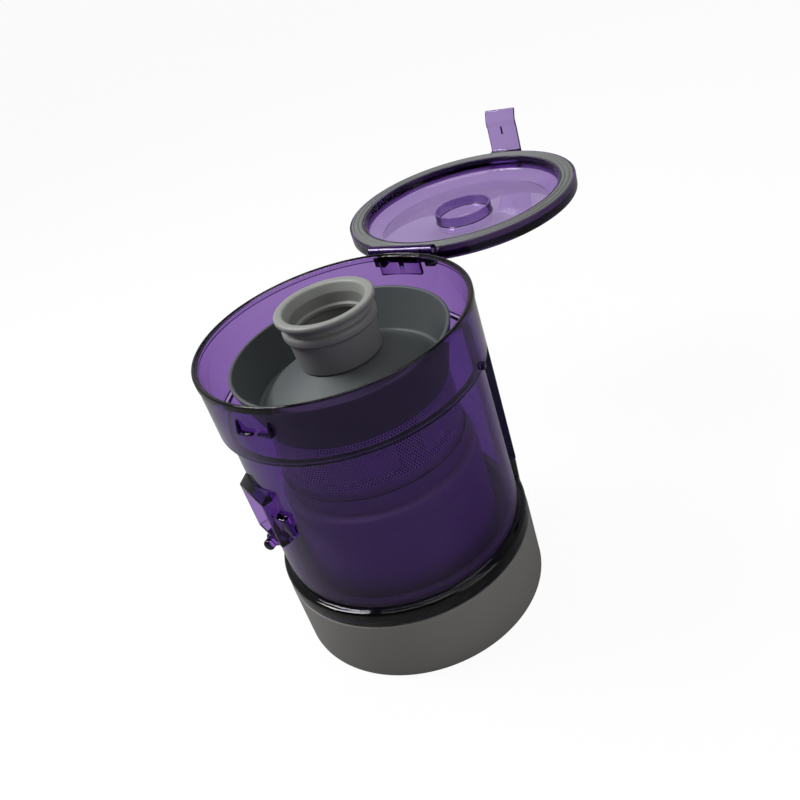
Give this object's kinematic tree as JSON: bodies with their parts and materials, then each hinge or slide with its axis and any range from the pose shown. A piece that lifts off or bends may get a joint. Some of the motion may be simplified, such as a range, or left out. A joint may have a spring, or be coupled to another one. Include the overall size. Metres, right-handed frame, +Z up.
{
  "type": "cyclone dust bin",
  "caption": "Clear cylindrical dust bin with an inner cyclone, mesh shroud, filter base and a hinged round emptying door that opens flat.",
  "frame": {"origin": "centre of the base's underside, on the bin's axis", "axes": "+Z up along the bin's axis, out of its mouth; +Y towards the door hinge; the catch faces -Y"},
  "size_m": [0.111, 0.2331, 0.1564],
  "materials": {
    "clear_purple": "clear tinted, moulded",
    "seal_grey": "soft matte",
    "seal_black": "soft matte",
    "pin_steel": "drawn wire",
    "housing_grey": "matte, moulded",
    "shroud_grey": "matte, moulded",
    "tub_grey": "satin, moulded",
    "mesh_dark": "finely perforated",
    "collar_grey": "soft satin",
    "foam_dark": "open foam",
    "pleat_white": "pleated paper"
  },
  "bodies": {
    "bin": {"dust_cup": "clear_purple", "hinge_pin": "pin_steel", "base_housing": "housing_grey", "cup_seal": "seal_black", "cyclone_body": "shroud_grey", "vortex_finder": "shroud_grey", "screen_frame": "shroud_grey", "mesh_screen": "mesh_dark", "cyclone_cone": "shroud_grey", "shroud_skirt": "tub_grey", "cone_boot": "collar_grey", "filter_foam": "foam_dark", "filter_frame": "shroud_grey", "filter_pleats": "pleat_white", "filter_seal": "seal_black", "filter_grille": "housing_grey", "finder_screws": "pin_steel", "base_screws": "pin_steel", "grille_screws": "pin_steel"},
    "door": {"door": "clear_purple", "door_seal": "seal_grey"}
  },
  "joints": [
    {"name": "door_hinge", "type": "hinge", "parent": "bin", "child": "door", "pos_m": [0, 0.0582, 0.1375], "axis": [1, 0, 0], "range_deg": [0, 180]}
  ]
}
